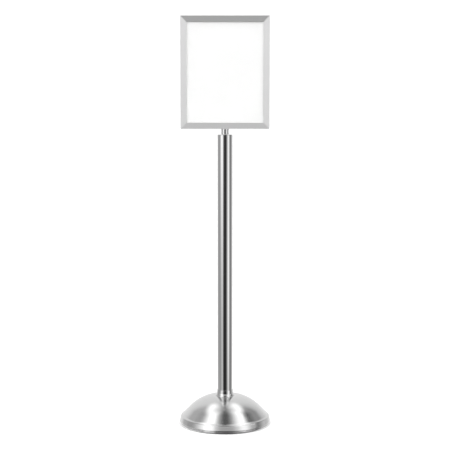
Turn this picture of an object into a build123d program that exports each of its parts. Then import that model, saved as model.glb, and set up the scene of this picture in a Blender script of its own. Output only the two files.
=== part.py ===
from build123d import *
import math
import os

# Sign stand: a picture frame on a short turning stem, a round post and a weighted domed base.
# Millimetres. The origin is on the floor on the post's axis; +Z is up and the sign faces -Y.

# Driving dimensions
BASE_RADIUS = 152.4
SEAT_HEIGHT = 96.2
POST_RADIUS = 25.4
POST_TOP = 977.0
STEM_RADIUS = 12.7
FRAME_BOTTOM = 995.4
FRAME_WIDTH = 294.0
FRAME_HEIGHT = 370.2
FRAME_DEPTH = 19.05
RAIL_FACE = 20.0
SHEET_WIDTH = 279.4
SHEET_HEIGHT = 355.6
SLIP = 0.05

# Base: spun cover, cast weight, floor ring
COVER_WALL = 1.2
COVER_HOLE = 6.5
CROWN_BEND = 95.0
CROWN_TURN = 19.3
DOME_BEND = 143.0
DOME_TURN = 27.0
CONE_LENGTH = 28.7
FLANGE_BEND = 26.5
FLANGE_TURN = 16.9
SHOULDER_BEND = 5.9
SIDE_SLOPE = 78.1
SIDE_LENGTH = 13.2
BROW_BEND = 4.0
BEAD_HEIGHT = 8.6
BEAD_RADIUS = 1.0
HEM_HEIGHT = 2.0
HEM_BEND = 2.6
HEM_RADIUS = 146.0
WEIGHT_BOTTOM = HEM_HEIGHT + COVER_WALL
WEIGHT_RADIUS = 149.4
WEIGHT_DISC_TOP = 20.0
WEIGHT_EDGE = 2.0
WEIGHT_SEAT = SEAT_HEIGHT - COVER_WALL
BOSS_TOP_RADIUS = 31.0
BOSS_FOOT_RADIUS = 48.0
RIB_COUNT = 4
RIB_THICKNESS = 8.0
RIB_ROOT = 19.0
RIB_TOP = 78.0
RIB_REACH = 140.0
POCKET_WIDTH = 42.0
POCKET_CORNER = 4.0
POCKET_TOP = 78.0
RING_INNER = 133.0
RING_OUTER = 145.5
RIB_GROOVE_INNER = 137.8
RIB_GROOVE_OUTER = 141.2
RIB_GROOVE_DEPTH = 3.0
RIB_CLEARANCE = 0.2

# Base fastening: one M12 bolt from below into the plug in the post
BOLT_RADIUS = 6.0
BOLT_LENGTH = 50.0
BOLT_POINT = 1.2
BOLT_HEAD_FLATS = 19.0
BOLT_HEAD_HEIGHT = 7.5
BOLT_HOLE_RADIUS = 6.6
WASHER_OUTER = 12.0
WASHER_INNER = 6.5
WASHER_THICK = 2.5
LOCK_OUTER = 10.5
LOCK_INNER = 6.1
LOCK_THICK = 2.5
LOCK_SPLIT = 2.0

# Post, collar, plug and cap
POST_WALL = 1.6
POST_BORE = POST_RADIUS - POST_WALL
CAP_FLANGE = 3.0
CAP_SPIGOT = 24.0
CAP_EDGE = 0.6
PLUG_LENGTH = 30.0
PLUG_EDGE = 1.0
COLLAR_TOP = 116.0
COLLAR_TOP_RADIUS = 26.5
COLLAR_WAIST = 104.5
COLLAR_WAIST_RADIUS = 27.3
COLLAR_FOOT_RADIUS = 31.2
COLLAR_FOOT_EDGE = 1.0
COLLAR_EDGE = 0.4

# Turning stem
STUD_RADIUS = 4.0
STUD_BOTTOM = POST_TOP - 21.0
STUD_TOP = POST_TOP + 15.0
STUD_RUNNING = 0.06
STUD_POINT = 0.8
STEM_BORE_TOP = STUD_TOP + 1.0
SWIVEL_WASHER_RADIUS = 11.0
SWIVEL_WASHER_THICK = 0.8
STEM_BOTTOM = POST_TOP + SWIVEL_WASHER_THICK
STEM_EDGE = 0.8
SPIGOT_RADIUS = 6.0
SPIGOT_LENGTH = 4.9

# Frame rail section, measured inwards from the outer edge and front to back
HALF_DEPTH = FRAME_DEPTH / 2
FACE_DROP = 2.45
RAIL_WALL = 1.6
BACK_WALL = 2.0
CHANNEL_FLOOR = 5.0
SLOT_FLOOR = 6.6
SLOT_FRONT = -5.45
SLOT_BACK = 0.15
KEY_WALL = 1.5
KEY_CHANNEL_FRONT = SLOT_BACK + KEY_WALL
KEY_CHANNEL_TOP = RAIL_FACE - RAIL_WALL
FRONT_WALL_INNER = -7.5
BACK_WALL_INNER = HALF_DEPTH - BACK_WALL
RAIL_EDGE = 0.5
MITRE_GAP = 0.04
LOADING_WIDTH = 280.4
FRAME_TOP = FRAME_BOTTOM + FRAME_HEIGHT
FRAME_MIDDLE = FRAME_BOTTOM + FRAME_HEIGHT / 2

# Corner keys and their screws
KEY_CLEARANCE = 0.2
KEY_ARM = 60.0
KEY_FRONT = KEY_CHANNEL_FRONT + KEY_CLEARANCE
KEY_BACK = BACK_WALL_INNER - KEY_CLEARANCE
SCREW_INSET = 12.5
SCREW_FROM_CORNER = 35.0
SCREW_RADIUS = 2.0
SCREW_HEAD = 3.65
SCREW_SINK = 3.75
SCREW_TIP = KEY_FRONT + 0.4
SCREW_SOCKET_FLATS = 2.5
SCREW_SOCKET_DEPTH = 1.2

# Stem plate in the bottom rail's outer channel
STEM_PLATE_LENGTH = 60.0
STEM_PLATE_WIDTH = 14.6
STEM_PLATE_THICK = 3.2

# Lenses and sign sheet
LENS_THICK = 2.0
LENS_HEIGHT = 361.0
LENS_CORNER = 1.5
SHEET_THICK = 0.4
SHEET_CORNER = 0.2
STACK_GAP = 0.3
STACK_BOTTOM = FRAME_BOTTOM + SLOT_FLOOR

BACKWARDS = Vector(0, 1, 0)

os.makedirs("parts", exist_ok=True)


def save(piece, label):
    """Label a finished part and write it to its own file."""
    piece.label = label
    export_step(piece, f"parts/{label}.step")


def rectangle_between(left, right, low, high, mode=Mode.ADD):
    """A sketch rectangle given by its four sides."""
    with Locations(((left + right) / 2, (low + high) / 2)):
        Rectangle(right - left, high - low, mode=mode)


# ---------------------------------------------------------------- base

crown_sine = math.sin(math.radians(CROWN_TURN))
cone_slope = CROWN_TURN + DOME_TURN
cone_sine = math.sin(math.radians(cone_slope))
flange_slope = cone_slope - FLANGE_TURN
flange_sine = math.sin(math.radians(flange_slope))
crown_run = CROWN_BEND * crown_sine
dome_run = DOME_BEND * (cone_sine - crown_sine)
cone_run = CONE_LENGTH * math.cos(math.radians(cone_slope))
flange_run = FLANGE_BEND * (cone_sine - flange_sine)
side_sine = math.sin(math.radians(SIDE_SLOPE))
shoulder_run = SHOULDER_BEND * (side_sine - flange_sine)
side_run = SIDE_LENGTH * math.cos(math.radians(SIDE_SLOPE)) + BROW_BEND * (1 - side_sine)
seat_radius = BASE_RADIUS - crown_run - dome_run - cone_run - flange_run - shoulder_run - side_run

# The cover is spun from one sheet: flat seat, dome, cone, flared shoulder, leaning side, upright
# skirt with a rolled bead, turned-in hem
with BuildPart() as base_cover:
    with BuildSketch(Plane.XZ):
        with BuildLine():
            seat = Line((COVER_HOLE, SEAT_HEIGHT), (seat_radius, SEAT_HEIGHT))
            crown = JernArc(seat @ 1, seat % 1, CROWN_BEND, -CROWN_TURN)
            dome = JernArc(crown @ 1, crown % 1, DOME_BEND, -DOME_TURN)
            cone = Line(dome @ 1, dome @ 1 + CONE_LENGTH * (dome % 1))
            flange = JernArc(cone @ 1, cone % 1, FLANGE_BEND, FLANGE_TURN)
            shoulder = JernArc(flange @ 1, flange % 1, SHOULDER_BEND, flange_slope - SIDE_SLOPE)
            leaning_side = Line(shoulder @ 1, shoulder @ 1 + SIDE_LENGTH * (shoulder % 1))
            brow = JernArc(leaning_side @ 1, leaning_side % 1, BROW_BEND, SIDE_SLOPE - 90)
            skirt = Line(brow @ 1, (BASE_RADIUS, BEAD_HEIGHT + BEAD_RADIUS))
            bead = ThreePointArc(
                skirt @ 1,
                (BASE_RADIUS - BEAD_RADIUS, BEAD_HEIGHT),
                (BASE_RADIUS, BEAD_HEIGHT - BEAD_RADIUS),
            )
            lip = Line(bead @ 1, (BASE_RADIUS, HEM_HEIGHT + HEM_BEND))
            turn = JernArc(lip @ 1, lip % 1, HEM_BEND, -90)
            Line(turn @ 1, (HEM_RADIUS, HEM_HEIGHT))
            offset(amount=COVER_WALL, side=Side.RIGHT)
        make_face()
    revolve(axis=Axis.Z)
save(base_cover.part, "base_cover")

# The weight is one iron casting: disc, central boss with four ribs, bolt pocket and ring groove below
with BuildPart() as base_weight:
    with BuildSketch(Plane.XZ):
        with BuildLine():
            Polyline(
                (0, WEIGHT_BOTTOM),
                (WEIGHT_RADIUS, WEIGHT_BOTTOM),
                (WEIGHT_RADIUS, WEIGHT_DISC_TOP - WEIGHT_EDGE),
                (WEIGHT_RADIUS - WEIGHT_EDGE, WEIGHT_DISC_TOP),
                (BOSS_FOOT_RADIUS, WEIGHT_DISC_TOP),
                (BOSS_TOP_RADIUS, WEIGHT_SEAT),
                (0, WEIGHT_SEAT),
                close=True,
            )
        make_face()
    revolve(axis=Axis.Z)
    rib_planes = []
    for index in range(RIB_COUNT):
        outward = Vector(1, 0, 0).rotate(Axis.Z, 360 * index / RIB_COUNT)
        rib_planes.append(Plane((0, 0, 0), x_dir=outward, z_dir=outward.cross(Vector(0, 0, 1))))
    with BuildSketch(*rib_planes):
        with BuildLine():
            Polyline((0, RIB_ROOT), (RIB_REACH, RIB_ROOT), (0, RIB_TOP), close=True)
        make_face()
    extrude(amount=RIB_THICKNESS / 2, both=True)
    with BuildSketch(Plane.XY.offset(WEIGHT_BOTTOM)):
        RectangleRounded(POCKET_WIDTH, POCKET_WIDTH, POCKET_CORNER)
    extrude(amount=POCKET_TOP - WEIGHT_BOTTOM, mode=Mode.SUBTRACT)
    with BuildSketch(Plane.XY.offset(POCKET_TOP)):
        Circle(BOLT_HOLE_RADIUS)
    extrude(amount=WEIGHT_SEAT - POCKET_TOP, mode=Mode.SUBTRACT)
    with BuildSketch(Plane.XY.offset(WEIGHT_BOTTOM)):
        Circle(RIB_GROOVE_OUTER)
        Circle(RIB_GROOVE_INNER, mode=Mode.SUBTRACT)
    extrude(amount=RIB_GROOVE_DEPTH, mode=Mode.SUBTRACT)
save(base_weight.part, "base_weight")

# The rubber ring under the weight's edge is what touches the floor
with BuildPart() as floor_ring:
    with BuildSketch(Plane.XZ):
        rectangle_between(RING_INNER, RING_OUTER, 0, WEIGHT_BOTTOM)
        rectangle_between(
            RIB_GROOVE_INNER + RIB_CLEARANCE,
            RIB_GROOVE_OUTER - RIB_CLEARANCE,
            0,
            WEIGHT_BOTTOM + RIB_GROOVE_DEPTH - RIB_CLEARANCE,
        )
    revolve(axis=Axis.Z)
save(floor_ring.part, "floor_ring")

# ---------------------------------------------------------------- base fastening

bolt_seat = POCKET_TOP - WASHER_THICK - LOCK_THICK

with BuildPart() as base_washer:
    with BuildSketch(Plane.XY.offset(POCKET_TOP - WASHER_THICK)):
        Circle(WASHER_OUTER)
        Circle(WASHER_INNER, mode=Mode.SUBTRACT)
    extrude(amount=WASHER_THICK)
save(base_washer.part, "base_washer")

with BuildPart() as base_lock_washer:
    with BuildSketch(Plane.XY.offset(bolt_seat)):
        Circle(LOCK_OUTER)
        Circle(LOCK_INNER, mode=Mode.SUBTRACT)
        with Locations((LOCK_OUTER, 0)):
            Rectangle(LOCK_OUTER * 2, LOCK_SPLIT, mode=Mode.SUBTRACT)
    extrude(amount=LOCK_THICK)
save(base_lock_washer.part, "base_lock_washer")

with BuildPart() as base_bolt:
    with BuildSketch(Plane.XY.offset(bolt_seat - BOLT_HEAD_HEIGHT)):
        RegularPolygon(BOLT_HEAD_FLATS / 2, 6, major_radius=False)
    extrude(amount=BOLT_HEAD_HEIGHT)
    with BuildSketch(Plane.XY.offset(bolt_seat)):
        Circle(BOLT_RADIUS)
    extrude(amount=BOLT_LENGTH)
    chamfer(base_bolt.edges().filter_by(GeomType.CIRCLE).sort_by(Axis.Z)[-1], length=BOLT_POINT)
save(base_bolt.part, "base_bolt")

# ---------------------------------------------------------------- post

with BuildPart() as post_bottom_plug:
    with BuildSketch(Plane.XY.offset(SEAT_HEIGHT)):
        Circle(POST_BORE - SLIP)
        Circle(BOLT_RADIUS + SLIP, mode=Mode.SUBTRACT)
    extrude(amount=PLUG_LENGTH)
    chamfer(post_bottom_plug.edges().group_by(Axis.Z)[-1], length=PLUG_EDGE)
save(post_bottom_plug.part, "post_bottom_plug")

with BuildPart() as post_tube:
    with BuildSketch(Plane.XY.offset(SEAT_HEIGHT)):
        Circle(POST_RADIUS)
        Circle(POST_BORE, mode=Mode.SUBTRACT)
    extrude(amount=POST_TOP - CAP_FLANGE - SEAT_HEIGHT)
save(post_tube.part, "post_tube")

with BuildPart() as post_collar:
    with BuildSketch(Plane.XZ):
        with BuildLine():
            neck = Line((COLLAR_TOP_RADIUS, COLLAR_TOP), (COLLAR_WAIST_RADIUS, COLLAR_WAIST))
            foot = (COLLAR_FOOT_RADIUS, SEAT_HEIGHT + COLLAR_FOOT_EDGE)
            flare = TangentArc(neck @ 1, foot, tangent=neck % 1)
            Polyline(
                flare @ 1,
                (COLLAR_FOOT_RADIUS, SEAT_HEIGHT),
                (POST_RADIUS + SLIP, SEAT_HEIGHT),
                (POST_RADIUS + SLIP, COLLAR_TOP),
                neck @ 0,
            )
        make_face()
    revolve(axis=Axis.Z)
    chamfer(post_collar.edges().sort_by(Axis.Z)[-1], length=COLLAR_EDGE)
save(post_collar.part, "post_collar")

with BuildPart() as post_top_cap:
    with BuildSketch(Plane.XY.offset(POST_TOP - CAP_FLANGE - CAP_SPIGOT)):
        Circle(POST_BORE - SLIP)
    extrude(amount=CAP_SPIGOT)
    with BuildSketch(Plane.XY.offset(POST_TOP - CAP_FLANGE)):
        Circle(POST_RADIUS)
    extrude(amount=CAP_FLANGE)
    fillet(post_top_cap.edges().group_by(Axis.Z)[-1], radius=CAP_EDGE)
    with BuildSketch(Plane.XY.offset(STUD_BOTTOM)):
        Circle(STUD_RADIUS + SLIP)
    extrude(amount=POST_TOP - STUD_BOTTOM, mode=Mode.SUBTRACT)
save(post_top_cap.part, "post_top_cap")

with BuildPart() as stem_stud:
    with BuildSketch(Plane.XY.offset(STUD_BOTTOM)):
        Circle(STUD_RADIUS)
    extrude(amount=STUD_TOP - STUD_BOTTOM)
    chamfer(stem_stud.edges().filter_by(GeomType.CIRCLE), length=STUD_POINT)
save(stem_stud.part, "stem_stud")

with BuildPart() as swivel_washer:
    with BuildSketch(Plane.XY.offset(POST_TOP)):
        Circle(SWIVEL_WASHER_RADIUS)
        Circle(STUD_RADIUS + SLIP, mode=Mode.SUBTRACT)
    extrude(amount=SWIVEL_WASHER_THICK)
save(swivel_washer.part, "swivel_washer")

# ---------------------------------------------------------------- sign head

# The stem runs on the stud with a blind bore and screws into the stem plate with its spigot
with BuildPart() as sign_stem:
    with BuildSketch(Plane.XY.offset(STEM_BOTTOM)):
        Circle(STEM_RADIUS)
    extrude(amount=FRAME_BOTTOM - STEM_BOTTOM)
    chamfer(sign_stem.edges().filter_by(GeomType.CIRCLE), length=STEM_EDGE)
    with BuildSketch(Plane.XY.offset(FRAME_BOTTOM)):
        Circle(SPIGOT_RADIUS)
    extrude(amount=SPIGOT_LENGTH)
    with BuildSketch(Plane.XY.offset(STEM_BOTTOM)):
        Circle(STUD_RADIUS + STUD_RUNNING)
    extrude(amount=STEM_BORE_TOP - STEM_BOTTOM, mode=Mode.SUBTRACT)
save(sign_stem.part, "sign_stem")

with BuildPart() as stem_plate:
    with BuildSketch(Plane.XY.offset(FRAME_BOTTOM + SPIGOT_LENGTH - STEM_PLATE_THICK)):
        Rectangle(STEM_PLATE_LENGTH, STEM_PLATE_WIDTH)
        Circle(SPIGOT_RADIUS + SLIP, mode=Mode.SUBTRACT)
    extrude(amount=STEM_PLATE_THICK)
save(stem_plate.part, "stem_plate")


def screw_planes(middle, inward, length):
    """The planes on a rail's back face, facing out, at its two corner screws."""
    along = inward.cross(BACKWARDS)
    on_face = middle + inward * SCREW_INSET + BACKWARDS * HALF_DEPTH
    reach = length / 2 - SCREW_FROM_CORNER
    return [Plane(origin=on_face + along * side * reach, z_dir=BACKWARDS) for side in (-1, 1)]


def build_rail(middle, inward, length, loading_slot=False):
    """One mitred length of the extrusion, from its outer middle, inward direction and outer length."""
    along = inward.cross(BACKWARDS)
    with BuildPart() as piece:
        with BuildSketch(Plane(origin=middle, x_dir=inward, z_dir=along)) as section:
            with BuildLine():
                Polyline(
                    (0, -HALF_DEPTH),
                    (RAIL_FACE, FACE_DROP - HALF_DEPTH),
                    (RAIL_FACE, SLOT_FRONT),
                    (SLOT_FLOOR, SLOT_FRONT),
                    (SLOT_FLOOR, SLOT_BACK),
                    (RAIL_FACE, SLOT_BACK),
                    (RAIL_FACE, HALF_DEPTH),
                    (0, HALF_DEPTH),
                    close=True,
                )
            make_face()
            front_to_back = section.vertices().sort_by(Axis.Y)
            fillet(front_to_back[:2] + front_to_back[-2:], radius=RAIL_EDGE)
            rectangle_between(RAIL_WALL, CHANNEL_FLOOR, FRONT_WALL_INNER, BACK_WALL_INNER, Mode.SUBTRACT)
            rectangle_between(SLOT_FLOOR, KEY_CHANNEL_TOP, KEY_CHANNEL_FRONT, BACK_WALL_INNER, Mode.SUBTRACT)
        extrude(amount=length / 2, both=True)
        for side in (-1, 1):
            mitre = (along * side + inward).normalized()
            corner = middle + along * side * length / 2 - mitre * MITRE_GAP
            split(bisect_by=Plane(origin=corner, z_dir=mitre), keep=Keep.BOTTOM)
        with Locations(*screw_planes(middle, inward, length)):
            CounterSinkHole(SCREW_RADIUS + SLIP, SCREW_SINK, depth=BACK_WALL + SLIP)
        if loading_slot:
            with BuildSketch(Plane.XY.offset(FRAME_TOP - SLOT_FLOOR)):
                rectangle_between(-LOADING_WIDTH / 2, LOADING_WIDTH / 2, SLOT_FRONT, SLOT_BACK)
            extrude(amount=SLOT_FLOOR, mode=Mode.SUBTRACT)
    return piece


def build_key(side, level):
    """An angle plate that lies in the key channels of the two rails at one corner."""
    outer = SLOT_FLOOR + KEY_CLEARANCE
    inner = KEY_CHANNEL_TOP - KEY_CLEARANCE
    outline = [
        (outer, outer),
        (KEY_ARM, outer),
        (KEY_ARM, inner),
        (inner, inner),
        (inner, KEY_ARM),
        (outer, KEY_ARM),
    ]
    screws = [(SCREW_FROM_CORNER, SCREW_INSET), (SCREW_INSET, SCREW_FROM_CORNER)]

    def placed(points):
        return [
            (side * (FRAME_WIDTH / 2 - across), FRAME_MIDDLE + level * (FRAME_HEIGHT / 2 - up))
            for across, up in points
        ]

    with BuildPart() as piece:
        with BuildSketch(Plane.XZ.offset(-KEY_BACK)):
            with BuildLine():
                Polyline(*placed(outline), close=True)
            make_face()
            with Locations(*placed(screws)):
                Circle(SCREW_RADIUS + SLIP, mode=Mode.SUBTRACT)
        extrude(amount=KEY_BACK - KEY_FRONT)
    return piece


def build_pane(front, thickness, height, corner):
    """A flat upright rectangle that stands in the frame's slot, from its front face back."""
    with BuildPart() as piece:
        with BuildSketch(Plane.XZ.offset(-front)):
            rectangle_between(-SHEET_WIDTH / 2, SHEET_WIDTH / 2, STACK_BOTTOM, STACK_BOTTOM + height)
        extrude(amount=-thickness)
        fillet(piece.edges().filter_by(Axis.Y), radius=corner)
    return piece


left_middle = Vector(-FRAME_WIDTH / 2, 0, FRAME_MIDDLE)
right_middle = Vector(FRAME_WIDTH / 2, 0, FRAME_MIDDLE)
bottom_middle = Vector(0, 0, FRAME_BOTTOM)
top_middle = Vector(0, 0, FRAME_TOP)
rails = {
    "rail_left": (left_middle, Vector(1, 0, 0), FRAME_HEIGHT),
    "rail_right": (right_middle, Vector(-1, 0, 0), FRAME_HEIGHT),
    "rail_top": (top_middle, Vector(0, 0, -1), FRAME_WIDTH),
}
for rail_name, (middle, inward, length) in rails.items():
    save(build_rail(middle, inward, length, loading_slot=rail_name == "rail_top").part, rail_name)

rails["rail_bottom"] = (bottom_middle, Vector(0, 0, 1), FRAME_WIDTH)
with BuildPart() as rail_bottom:
    add(build_rail(*rails["rail_bottom"]).part)
    with BuildSketch(Plane.XY.offset(FRAME_BOTTOM)):
        Circle(SPIGOT_RADIUS + SLIP)
    extrude(amount=RAIL_WALL, mode=Mode.SUBTRACT)
save(rail_bottom.part, "rail_bottom")

for side_name, side in (("left", -1), ("right", 1)):
    for level_name, level in (("bottom", -1), ("top", 1)):
        save(build_key(side, level).part, f"corner_key_{level_name}_{side_name}")

# Countersunk machine screws with hexagon sockets hold the keys through the rails' back walls
all_screw_planes = [plane for placing in rails.values() for plane in screw_planes(*placing)]
with BuildPart() as corner_screws:
    with Locations(*all_screw_planes):
        Cylinder(SCREW_RADIUS, HALF_DEPTH - SCREW_TIP, align=(Align.CENTER, Align.CENTER, Align.MAX))
        Cone(
            SCREW_RADIUS,
            SCREW_HEAD,
            SCREW_HEAD - SCREW_RADIUS,
            align=(Align.CENTER, Align.CENTER, Align.MAX),
        )
    with BuildSketch(*all_screw_planes):
        RegularPolygon(SCREW_SOCKET_FLATS / 2, 6, major_radius=False)
    extrude(amount=-SCREW_SOCKET_DEPTH, mode=Mode.SUBTRACT)
save(corner_screws.part, "corner_screws")

# ---------------------------------------------------------------- sign and its two clear lenses

front_of_sheet = SLOT_FRONT + STACK_GAP + LENS_THICK + STACK_GAP
front_of_back_lens = front_of_sheet + SHEET_THICK + STACK_GAP
save(build_pane(SLOT_FRONT + STACK_GAP, LENS_THICK, LENS_HEIGHT, LENS_CORNER).part, "front_lens")
save(build_pane(front_of_sheet, SHEET_THICK, SHEET_HEIGHT, SHEET_CORNER).part, "sign_sheet")
save(build_pane(front_of_back_lens, LENS_THICK, LENS_HEIGHT, LENS_CORNER).part, "back_lens")
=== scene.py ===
import math

import bpy
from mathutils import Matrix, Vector


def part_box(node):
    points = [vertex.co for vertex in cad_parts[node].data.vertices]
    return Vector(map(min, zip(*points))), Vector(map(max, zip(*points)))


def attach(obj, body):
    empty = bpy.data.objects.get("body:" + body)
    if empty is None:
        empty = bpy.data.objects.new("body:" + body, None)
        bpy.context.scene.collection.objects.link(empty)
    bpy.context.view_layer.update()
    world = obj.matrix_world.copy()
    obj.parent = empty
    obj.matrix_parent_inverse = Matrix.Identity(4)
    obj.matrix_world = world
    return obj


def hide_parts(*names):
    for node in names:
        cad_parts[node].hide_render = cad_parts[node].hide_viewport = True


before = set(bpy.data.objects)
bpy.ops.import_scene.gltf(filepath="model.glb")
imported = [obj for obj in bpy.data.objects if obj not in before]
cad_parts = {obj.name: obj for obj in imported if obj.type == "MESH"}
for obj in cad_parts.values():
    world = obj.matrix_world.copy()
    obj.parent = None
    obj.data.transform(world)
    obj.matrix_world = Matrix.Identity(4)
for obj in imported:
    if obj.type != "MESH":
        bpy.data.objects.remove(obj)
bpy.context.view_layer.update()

MM = 0.001

# ---------------------------------------------------------------- camera

CAMERA_PLACE = (0.0, -4.2, 1.141)
CAMERA_PITCH = 6.5
CAMERA_LENS = 101.3
CAMERA_SHIFT = 0.0084


def build_camera():
    """A long lens a little above half height, looking slightly down."""
    data = bpy.data.cameras.new("camera")
    data.lens = CAMERA_LENS
    data.shift_y = CAMERA_SHIFT
    data.clip_end = 100
    camera = bpy.data.objects.new("camera", data)
    camera.location = CAMERA_PLACE
    camera.rotation_euler = (math.radians(90 - CAMERA_PITCH), 0, 0)
    bpy.context.scene.collection.objects.link(camera)
    bpy.context.scene.camera = camera


# ---------------------------------------------------------------- node helpers


class Nodes:
    """Short ways to add and join nodes in one tree."""

    def __init__(self, tree):
        self.tree = tree

    def add(self, kind, **settings):
        node = self.tree.nodes.new(kind)
        for key, value in settings.items():
            setattr(node, key, value)
        return node

    def join(self, output, node, socket):
        if isinstance(output, (int, float)):
            node.inputs[socket].default_value = output
        else:
            self.tree.links.new(output, node.inputs[socket])

    def math(self, operation, first, second=0.0, third=0.0):
        node = self.add("ShaderNodeMath", operation=operation)
        for index, value in enumerate((first, second, third)):
            self.join(value, node, index)
        return node.outputs[0]

    def ramp(self, value, low, high, to_low=0.0, to_high=1.0):
        """A smooth step between two values."""
        node = self.add("ShaderNodeMapRange", interpolation_type="SMOOTHSTEP")
        for socket, entry in enumerate((value, low, high, to_low, to_high)):
            self.join(entry, node, socket)
        return node.outputs[0]

    def mix(self, factor, first, second):
        """A plain number between two numbers."""
        node = self.add("ShaderNodeMix", data_type="FLOAT")
        for socket, entry in ((0, factor), (2, first), (3, second)):
            self.join(entry, node, socket)
        return node.outputs[0]

    def vector(self, x, y, z):
        node = self.add("ShaderNodeCombineXYZ")
        for index, value in enumerate((x, y, z)):
            self.join(value, node, index)
        return node.outputs[0]

    def split(self, vector):
        node = self.add("ShaderNodeSeparateXYZ")
        self.join(vector, node, 0)
        return node.outputs

    def noise(self, vector, scale=1.0, detail=2.0, roughness=0.5):
        node = self.add("ShaderNodeTexNoise", noise_dimensions="3D")
        self.join(vector, node, "Vector")
        self.join(scale, node, "Scale")
        self.join(detail, node, "Detail")
        self.join(roughness, node, "Roughness")
        return node.outputs[0]


# ---------------------------------------------------------------- studio

# Soft panels around the stand: azimuth of the middle from straight in front, positive to the viewer's
# right, then half width, edge softness, foot and head elevation in degrees, and brightness, which is
# below zero for a dark board that stands before the others. Which panels there are was listed one by one;
# their values, the gloom and the overhead fade came out of a least-squares fit of the reflections, then
# rounded
PANELS = [
    ("left_window", -49, 19, 52, -5, 100, 1.41),
    ("left_glint", -40, 13, 3, -41, 10, 0.61),
    ("left_wall", -84, 38, 14, -64, 100, 0.42),
    ("right_window", 53, 2, 82, -16, 100, 3.0),
    ("right_strip", 82, 4, 8, 8, 100, 2.05),
    ("right_wall", 117, 6, 75, -70, 100, 1.24),
    ("right_board", 110, 21, 10, 20, 55, -0.36),
    ("backdrop", 186, 48, 42, -41, 100, 0.96),
    ("front_wall", 2, 46, 8, 5, 41, 0.65),
    ("right_bank", 111, 48, 28, 59, 100, 2.31),
    ("left_bank", -102, 50, 32, 58, 100, 2.29),
    ("floor_glow", -163, 85, 45, -100, -19, 0.83),
]
PANEL_FADE = 8
FRONT_GLOOM = 0.036
# Elevations over which everything fades towards a dark patch straight overhead
OVERHEAD_FADE = (43.0, 98.0)
ROOM_BRIGHTNESS = 1.2
FILL_ABOVE = 2.1
FILL_BELOW = 0.1
FILL_BEHIND = 0.4
FLOOR_REACH = 30.0


def build_world():
    """White to the eye, a soft light from above and in front for shading, soft panels in reflections."""
    world = bpy.data.worlds.new("studio")
    world.use_nodes = True
    bpy.context.scene.world = world
    world.node_tree.nodes.clear()
    n = Nodes(world.node_tree)
    direction = n.split(n.add("ShaderNodeTexCoord").outputs["Generated"])
    across, depth, up = direction[0], direction[1], direction[2]
    azimuth = n.math("DEGREES", n.math("ARCTAN2", across, n.math("MULTIPLY", depth, -1.0)))
    elevation = n.math("DEGREES", n.math("ARCSINE", up))
    around = FRONT_GLOOM
    for _, centre, half_width, soft, foot, head, brightness in PANELS:
        wrapped = n.math("WRAP", n.math("SUBTRACT", azimuth, float(centre)), 180.0, -180.0)
        distance = n.math("ABSOLUTE", wrapped)
        lit = n.ramp(distance, half_width - soft / 2, half_width + soft / 2, brightness, 0.0)
        raised = n.ramp(elevation, foot - PANEL_FADE, foot + PANEL_FADE)
        topped = n.ramp(elevation, head - PANEL_FADE, head + PANEL_FADE, 1.0, 0.0)
        around = n.math("MULTIPLY_ADD", n.math("MULTIPLY", lit, raised), topped, around)
    around = n.math("MAXIMUM", around, 0.0)
    mixed = n.math("MULTIPLY", around, n.ramp(elevation, *OVERHEAD_FADE, 1.0, 0.0))
    reflected = n.add("ShaderNodeBackground")
    reflected.inputs["Color"].default_value = grey(1.0)
    n.join(mixed, reflected, "Strength")
    plain = n.add("ShaderNodeBackground")
    plain.inputs["Color"].default_value = grey(1.0)
    light_path = n.add("ShaderNodeLightPath").outputs
    fill = n.ramp(up, -0.35, 0.35, FILL_BELOW, FILL_ABOVE)
    fill = n.math("MULTIPLY", fill, n.ramp(depth, -0.2, 0.2, 1.0, FILL_BEHIND))
    n.join(n.mix(light_path["Is Camera Ray"], fill, ROOM_BRIGHTNESS), plain, "Strength")
    chooser = n.add("ShaderNodeMixShader")
    n.join(light_path["Is Glossy Ray"], chooser, 0)
    n.join(plain.outputs[0], chooser, 1)
    n.join(reflected.outputs[0], chooser, 2)
    n.join(chooser.outputs[0], n.add("ShaderNodeOutputWorld"), 0)


def build_floor():
    """A plain white floor that fades into the white background."""
    mesh = bpy.data.meshes.new("floor")
    corners = [(x * FLOOR_REACH, y * FLOOR_REACH, 0) for x, y in ((-1, -1), (1, -1), (1, 1), (-1, 1))]
    mesh.from_pydata(corners, [], [(0, 1, 2, 3)])
    floor = bpy.data.objects.new("floor", mesh)
    bpy.context.scene.collection.objects.link(floor)
    material, n, shader = new_material("floor_white")
    shader.inputs["Base Color"].default_value = (0.94, 0.94, 0.94, 1)
    shader.inputs["Roughness"].default_value = 0.9
    shader.inputs["Specular IOR Level"].default_value = 0.0
    mesh.materials.append(material)
    floor.visible_glossy = False
    floor.visible_diffuse = False


# ---------------------------------------------------------------- materials


def new_material(name):
    """A material with an empty tree but for its shader and output."""
    material = bpy.data.materials.new(name)
    material.use_nodes = True
    tree = material.node_tree
    tree.nodes.clear()
    n = Nodes(tree)
    shader = n.add("ShaderNodeBsdfPrincipled")
    n.join(shader.outputs[0], n.add("ShaderNodeOutputMaterial"), 0)
    return material, n, shader


def grey(value):
    return (value, value, value, 1.0)


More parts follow.
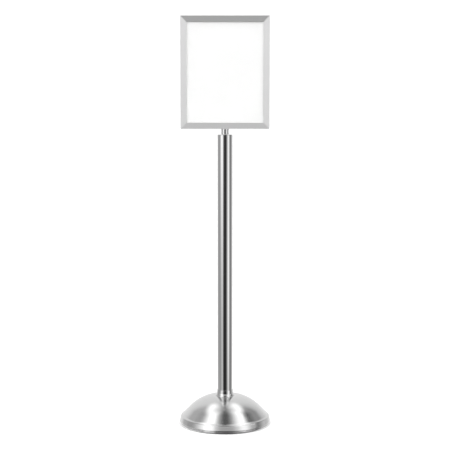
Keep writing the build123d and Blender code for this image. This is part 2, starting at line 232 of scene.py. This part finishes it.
def brushed_steel(name, tone=0.62, roughness=0.2, anisotropy=0.4, line=0.35 * MM):
    """Stainless steel brushed round the Z axis: fine rings, broken into streaks, over faint bands."""
    material, n, shader = new_material(name)
    place = n.split(n.add("ShaderNodeTexCoord").outputs["Object"])
    squares = [n.math("MULTIPLY", place[axis], place[axis]) for axis in range(2)]
    radius = n.math("SQRT", n.math("ADD", *squares))
    angle = n.math("ARCTAN2", place[1], place[0])

    def rings(scale, round_scale):
        around = n.math("MULTIPLY", angle, round_scale)
        return n.vector(n.math("MULTIPLY", radius, scale), n.math("MULTIPLY", place[2], scale), around)

    lines = n.noise(rings(1 / line, 1.5), 1.0, 3.0, 0.6)
    bands = n.noise(rings(90.0, 0.7), 1.0, 2.0, 0.5)
    rough = n.math("MULTIPLY_ADD", n.math("SUBTRACT", lines, 0.5), 0.08, roughness)
    rough = n.math("MULTIPLY_ADD", n.math("SUBTRACT", bands, 0.5), 0.05, rough)
    n.join(rough, shader, "Roughness")
    colour = n.add("ShaderNodeMix", data_type="RGBA")
    n.join(lines, colour, 0)
    colour.inputs[6].default_value = grey(tone * 0.95)
    colour.inputs[7].default_value = grey(tone * 1.05)
    n.join(colour.outputs[2], shader, "Base Color")
    bump = n.add("ShaderNodeBump")
    bump.inputs["Strength"].default_value = 0.12
    bump.inputs["Distance"].default_value = 0.00001
    n.join(lines, bump, "Height")
    n.join(bump.outputs[0], shader, "Normal")
    n.join(n.add("ShaderNodeTangent", direction_type="RADIAL", axis="Z").outputs[0], shader, "Tangent")
    shader.inputs["Metallic"].default_value = 1.0
    shader.inputs["Anisotropic"].default_value = anisotropy
    shader.inputs["Anisotropic Rotation"].default_value = 0.25
    return material


def brushed_rail(name, along, tone=0.84, roughness=0.62, anisotropy=0.8, metallic=0.75):
    """Aluminium brushed along a rail: streaks that run its length, with a satin sheen."""
    material, n, shader = new_material(name)
    place = n.split(n.add("ShaderNodeTexCoord").outputs["Object"])
    across_scale, along_scale = 2600.0, 14.0
    scales = [across_scale, across_scale, across_scale]
    scales[along] = along_scale
    streak_place = n.vector(*[n.math("MULTIPLY", place[axis], scales[axis]) for axis in range(3)])
    streaks = n.noise(streak_place, 1.0, 3.0, 0.6)
    rough = n.math("MULTIPLY_ADD", n.math("SUBTRACT", streaks, 0.5), 0.12, roughness)
    n.join(rough, shader, "Roughness")
    colour = n.add("ShaderNodeMix", data_type="RGBA")
    n.join(streaks, colour, 0)
    colour.inputs[6].default_value = grey(tone * 0.94)
    colour.inputs[7].default_value = grey(tone * 1.06)
    n.join(colour.outputs[2], shader, "Base Color")
    bump = n.add("ShaderNodeBump")
    bump.inputs["Strength"].default_value = 0.3
    bump.inputs["Distance"].default_value = 0.00002
    n.join(streaks, bump, "Height")
    n.join(bump.outputs[0], shader, "Normal")
    grain = [0.0, 0.0, 0.0]
    grain[along] = 1.0
    spaces = {"convert_from": "OBJECT", "convert_to": "WORLD"}
    turned = n.add("ShaderNodeVectorTransform", vector_type="VECTOR", **spaces)
    n.join(n.vector(*grain), turned, 0)
    n.join(turned.outputs[0], shader, "Tangent")
    shader.inputs["Metallic"].default_value = metallic
    shader.inputs["Anisotropic"].default_value = anisotropy
    shader.inputs["Anisotropic Rotation"].default_value = 0.25
    return material


def plain_metal(name, tone, roughness, grain=300.0):
    """Zinc-plated or cast metal with a fine cloudy grain."""
    material, n, shader = new_material(name)
    cloud = n.noise(n.add("ShaderNodeTexCoord").outputs["Object"], grain, 4.0, 0.6)
    n.join(n.math("MULTIPLY_ADD", n.math("SUBTRACT", cloud, 0.5), 0.3, roughness), shader, "Roughness")
    colour = n.add("ShaderNodeMix", data_type="RGBA")
    n.join(cloud, colour, 0)
    colour.inputs[6].default_value = grey(tone * 0.8)
    colour.inputs[7].default_value = grey(tone * 1.2)
    n.join(colour.outputs[2], shader, "Base Color")
    bump = n.add("ShaderNodeBump")
    bump.inputs["Strength"].default_value = 0.4
    bump.inputs["Distance"].default_value = 0.0001
    n.join(cloud, bump, "Height")
    n.join(bump.outputs[0], shader, "Normal")
    shader.inputs["Metallic"].default_value = 1.0
    return material


def soft_plastic(name, tone, roughness, grain):
    """Moulded rubber or nylon: a fine matt grain."""
    material, n, shader = new_material(name)
    cloud = n.noise(n.add("ShaderNodeTexCoord").outputs["Object"], grain, 3.0, 0.6)
    n.join(n.math("MULTIPLY_ADD", n.math("SUBTRACT", cloud, 0.5), 0.2, roughness), shader, "Roughness")
    colour = n.add("ShaderNodeMix", data_type="RGBA")
    n.join(cloud, colour, 0)
    colour.inputs[6].default_value = grey(tone * 0.85)
    colour.inputs[7].default_value = grey(tone * 1.15)
    n.join(colour.outputs[2], shader, "Base Color")
    bump = n.add("ShaderNodeBump")
    bump.inputs["Strength"].default_value = 0.5
    bump.inputs["Distance"].default_value = 0.0001
    n.join(cloud, bump, "Height")
    n.join(bump.outputs[0], shader, "Normal")
    return material


def clear_acrylic(name):
    """Polished clear sheet with the faintest handling haze, and sawn edges that read darker."""
    material, n, shader = new_material(name)
    coordinates = n.add("ShaderNodeTexCoord")
    haze = n.noise(coordinates.outputs["Object"], 60.0, 4.0, 0.6)
    n.join(n.ramp(haze, 0.45, 0.75, 0.015, 0.05), shader, "Roughness")
    facing = n.math("ABSOLUTE", n.split(coordinates.outputs["Normal"])[1])
    colour = n.add("ShaderNodeMix", data_type="RGBA")
    n.join(n.ramp(facing, 0.4, 0.8), colour, 0)
    colour.inputs[6].default_value = (0.16, 0.2, 0.19, 1)
    colour.inputs[7].default_value = (0.985, 0.99, 0.99, 1)
    n.join(colour.outputs[2], shader, "Base Color")
    shader.inputs["IOR"].default_value = 1.49
    shader.inputs["Transmission Weight"].default_value = 1.0
    shader.inputs["Alpha"].default_value = 0.22
    return material


def white_card(name):
    """Coated card: nearly white, with a faint fibre grain."""
    material, n, shader = new_material(name)
    fibre = n.noise(n.add("ShaderNodeTexCoord").outputs["Object"], 1800.0, 4.0, 0.65)
    colour = n.add("ShaderNodeMix", data_type="RGBA")
    n.join(fibre, colour, 0)
    colour.inputs[6].default_value = (0.93, 0.93, 0.925, 1)
    colour.inputs[7].default_value = (0.97, 0.97, 0.965, 1)
    n.join(colour.outputs[2], shader, "Base Color")
    n.join(n.math("MULTIPLY_ADD", fibre, 0.15, 0.5), shader, "Roughness")
    bump = n.add("ShaderNodeBump")
    bump.inputs["Strength"].default_value = 0.2
    bump.inputs["Distance"].default_value = 0.00003
    n.join(fibre, bump, "Height")
    n.join(bump.outputs[0], shader, "Normal")
    return material


# ---------------------------------------------------------------- turned shapes

# How far from each end of a straight line its guard points stand
GUARD = 0.4 * MM


class Path:
    """An outline in the radius-height plane, drawn with straight runs and tangent bends."""

    def __init__(self, radius, height, heading):
        self.points = [(radius, height)]
        self.heading = heading

    def reach(self, radius, height):
        """A straight line to a point, with a guard point near each end that keeps its shading flat."""
        start, end = Vector(self.points[-1]), Vector((radius, height))
        guard = min(GUARD / (end - start).length, 0.3)
        self.points += [tuple(start.lerp(end, share)) for share in (guard, 1 - guard, 1)]
        return self

    def run(self, length):
        """A straight line of a given length, in the present heading."""
        radius, height = self.points[-1]
        turn = math.radians(self.heading)
        return self.reach(radius + length * math.cos(turn), height + length * math.sin(turn))

    def bend(self, radius, turn, steps):
        """An arc that turns the heading left by turn degrees, or right where it is negative."""
        side = 1 if turn > 0 else -1
        start = math.radians(self.heading)
        x, y = self.points[-1]
        for step in range(1, steps + 1):
            now = start + math.radians(turn) * step / steps
            self.points.append(
                (
                    x + side * radius * (math.sin(now) - math.sin(start)),
                    y - side * radius * (math.cos(now) - math.cos(start)),
                )
            )
        self.heading += turn
        return self


def lathe(name, outline, turns=288):
    """A closed outline of (radius, height) points, turned round the Z axis."""
    count = len(outline)
    points = []
    for step in range(turns):
        angle = 2 * math.pi * step / turns
        for radius, height in outline:
            points.append((radius * math.cos(angle), radius * math.sin(angle), height))
    faces = []
    for step in range(turns):
        here, there = step * count, (step + 1) % turns * count
        for index in range(count):
            after = (index + 1) % count
            faces.append((here + index, here + after, there + after, there + index))
    mesh = bpy.data.meshes.new(name)
    mesh.from_pydata(points, [], faces)
    mesh.validate()
    mesh.shade_smooth()
    mesh.set_sharp_from_angle(angle=math.radians(40))
    piece = bpy.data.objects.new(name, mesh)
    bpy.context.scene.collection.objects.link(piece)
    return piece


def place_lathe(name, outline, material, body, node):
    """A turned piece that stands for a CAD node."""
    piece = lathe(name, outline)
    piece.data.materials.append(material)
    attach(piece, body)
    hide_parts(node)


# ---------------------------------------------------------------- base and post

WALL = 1.2 * MM
CROWN_BEND, CROWN_TURN = 95 * MM, 19.3
DOME_BEND, DOME_TURN = 143 * MM, 27.0
CONE_LENGTH = 28.7 * MM
FLANGE_BEND, FLANGE_TURN = 26.5 * MM, 16.9
SHOULDER_BEND = 5.9 * MM
SIDE_SLOPE, SIDE_LENGTH = 78.1, 13.2 * MM
BROW_BEND = 4 * MM
BEAD_HEIGHT = 8.6 * MM
BEAD_LIP, BEAD_GROOVE, BEAD_TURN = 0.4 * MM, 0.8 * MM, 75.0
HEM_BEND = 2.6 * MM
HEM_RADIUS = 146 * MM
BOLT_HOLE = 6.5 * MM
EDGE = 0.3 * MM
POST_WALL = 1.6 * MM
FIT = 0.05 * MM
CAP_ROUND = 0.6 * MM
COLLAR_NECK_RADIUS = 26.5 * MM
COLLAR_WAIST_RADIUS, COLLAR_WAIST_HEIGHT = 27.3 * MM, 104.5 * MM
COLLAR_FOOT_EDGE = 1 * MM
COLLAR_CHAMFER = 0.2 * MM
STUD_RUNNING = 0.06 * MM
STEM_BREAK = 0.8 * MM
SPIGOT_RADIUS = 6 * MM
BORE_END_GAP = 1 * MM


def shell(path, wall):
    """A closed outline: the path, and the same path moved to its right by the wall's thickness."""
    points = [Vector(point) for point in path.points]
    inner = []
    for index, point in enumerate(points):
        before, after = points[max(index - 1, 0)], points[min(index + 1, len(points) - 1)]
        along = (after - before).normalized()
        inner.append(point + Vector((along.y, -along.x)) * wall)
    return [tuple(point) for point in points + inner[::-1]]


def cover_outline():
    """Flat seat, dome, cone, flared shoulder, leaning side, skirt with a rolled bead, turned-in hem."""
    low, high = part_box("base_cover")
    path = Path(0, 0, 0)
    path.bend(CROWN_BEND, -CROWN_TURN, 16).bend(DOME_BEND, -DOME_TURN, 28).run(CONE_LENGTH)
    path.bend(FLANGE_BEND, FLANGE_TURN, 8)
    path.bend(SHOULDER_BEND, -SIDE_SLOPE - path.heading, 16).run(SIDE_LENGTH)
    path.bend(BROW_BEND, SIDE_SLOPE - 90, 4)
    seat = high.x - path.points[-1][0]
    path.points = [(BOLT_HOLE, high.z)] + [(seat + radius, high.z + height) for radius, height in path.points]
    bead_reach = (BEAD_LIP + BEAD_GROOVE) * math.sin(math.radians(BEAD_TURN))
    path.run(path.points[-1][1] - BEAD_HEIGHT - bead_reach)
    path.bend(BEAD_LIP, -BEAD_TURN, 6)
    path.bend(BEAD_GROOVE, 2 * BEAD_TURN, 12)
    path.bend(BEAD_LIP, -BEAD_TURN, 6)
    path.run(path.points[-1][1] - low.z - HEM_BEND)
    path.bend(HEM_BEND, -90, 10)
    path.run(path.points[-1][0] - HEM_RADIUS)
    return shell(path, WALL)


def tube_outline():
    """The post's wall, with its ends just broken."""
    low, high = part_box("post_tube")
    outer, bore = high.x, high.x - POST_WALL
    path = Path(bore + EDGE, low.z, 0)
    path.run(outer - bore - 2 * EDGE).bend(EDGE, 90, 4).run(high.z - low.z - 2 * EDGE)
    path.bend(EDGE, 90, 4).run(outer - bore - 2 * EDGE).bend(EDGE, 90, 4)
    path.run(high.z - low.z - 2 * EDGE).bend(EDGE, 90, 4)
    return path.points[:-1]


def cap_outline():
    """A flange flush with the post, a spigot inside it and a blind hole for the stud."""
    low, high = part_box("post_top_cap")
    stud_low, stud_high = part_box("stem_stud")
    tube_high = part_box("post_tube")[1]
    hole = stud_high.x + FIT
    spigot = high.x - POST_WALL - FIT
    path = Path(0, low.z, 0)
    path.run(spigot - EDGE).bend(EDGE, 90, 4).run(tube_high.z - low.z - EDGE)
    path.reach(high.x - EDGE, tube_high.z)
    path.heading = 0
    path.bend(EDGE, 90, 4).run(high.z - tube_high.z - EDGE - CAP_ROUND).bend(CAP_ROUND, 90, 8)
    path.run(high.x - CAP_ROUND - hole - EDGE).bend(EDGE, 90, 4).run(high.z - EDGE - stud_low.z)
    path.reach(0, stud_low.z)
    return path.points


def collar_outline():
    """A thin sleeve round the foot of the post that flares on to the cover's seat."""
    low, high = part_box("post_collar")
    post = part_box("post_tube")[1].x + FIT
    neck = Vector((COLLAR_NECK_RADIUS, high.z))
    waist = Vector((COLLAR_WAIST_RADIUS, COLLAR_WAIST_HEIGHT))
    down = (waist - neck).normalized()
    foot = Vector((high.x, low.z + COLLAR_FOOT_EDGE))
    reach = foot - waist
    inward = Vector((-down.y, down.x))
    radius = reach.length_squared / (2 * reach.dot(inward))
    turn = 2 * math.degrees(math.atan2(reach.dot(inward), reach.dot(down)))
    path = Path(post + COLLAR_CHAMFER, high.z, 0)
    path.reach(neck.x - EDGE, neck.y)
    path.bend(EDGE, -85, 4)
    path.reach(*waist)
    path.heading = math.degrees(math.atan2(down.y, down.x))
    path.bend(radius, turn, 16)
    path.reach(high.x, low.z).reach(post, low.z).reach(post, high.z - COLLAR_CHAMFER)
    return path.points


def stem_outline():
    """The turned boss, its spigot above and its blind bore for the stud."""
    low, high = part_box("sign_stem")
    stud_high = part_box("stem_stud")[1]
    frame_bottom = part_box("rail_bottom")[0].z
    bore = stud_high.x + STUD_RUNNING
    bore_end = stud_high.z + BORE_END_GAP
    path = Path(bore, low.z, 0)
    path.run(high.x - STEM_BREAK - bore).bend(STEM_BREAK, 90, 6)
    path.run(frame_bottom - low.z - 2 * STEM_BREAK).bend(STEM_BREAK, 90, 6)
    path.run(high.x - STEM_BREAK - SPIGOT_RADIUS)
    path.heading = 90
    path.run(high.z - frame_bottom)
    path.reach(0, high.z)
    path.points.append((0, bore_end))
    path.reach(bore, bore_end).reach(bore, low.z)
    return path.points[:-1]


build_camera()
build_world()
build_floor()

steel = brushed_steel("satin_stainless")
post_steel = brushed_steel("polished_stainless", roughness=0.06, anisotropy=0.0)
stem_steel = brushed_steel("turned_stainless", roughness=0.2, line=0.2 * MM)
# The rails across get a darker tone than the upright rails, 0.77 against 0.84. This is painted shade for the
# lesser light that falls on the top and bottom rails, not a different metal.
rail_across_painted_shade = brushed_rail("satin_aluminium_across_painted_shade", 0, tone=0.77, roughness=0.4)
rail_up = brushed_rail("satin_aluminium_up", 2)
zinc = plain_metal("zinc_plate", 0.55, 0.35)
iron = plain_metal("cast_iron", 0.1, 0.6, 900.0)
rubber = soft_plastic("black_rubber", 0.03, 0.75, 900.0)
nylon = soft_plastic("white_nylon", 0.8, 0.5, 600.0)
acrylic = clear_acrylic("clear_acrylic")
card = white_card("white_card")

NODE_MATERIALS = {
    "base_cover": steel, "post_tube": post_steel, "post_collar": post_steel, "post_top_cap": post_steel,
    "sign_stem": stem_steel, "rail_top": rail_across_painted_shade, "rail_bottom": rail_across_painted_shade,
    "rail_left": rail_up, "rail_right": rail_up, "base_weight": iron, "floor_ring": rubber,
    "swivel_washer": nylon, "front_lens": acrylic, "back_lens": acrylic, "sign_sheet": card,
}
for node_name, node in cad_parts.items():
    node.data.materials.clear()
    node.data.materials.append(NODE_MATERIALS.get(node_name, zinc))

place_lathe("spun_cover", cover_outline(), steel, "stand", "base_cover")
place_lathe("post_skin", tube_outline(), post_steel, "stand", "post_tube")
place_lathe("top_plug", cap_outline(), post_steel, "stand", "post_top_cap")
place_lathe("flared_collar", collar_outline(), post_steel, "stand", "post_collar")
place_lathe("turned_stem", stem_outline(), stem_steel, "sign_head", "sign_stem")

bpy.context.scene.view_settings.view_transform = "Standard"
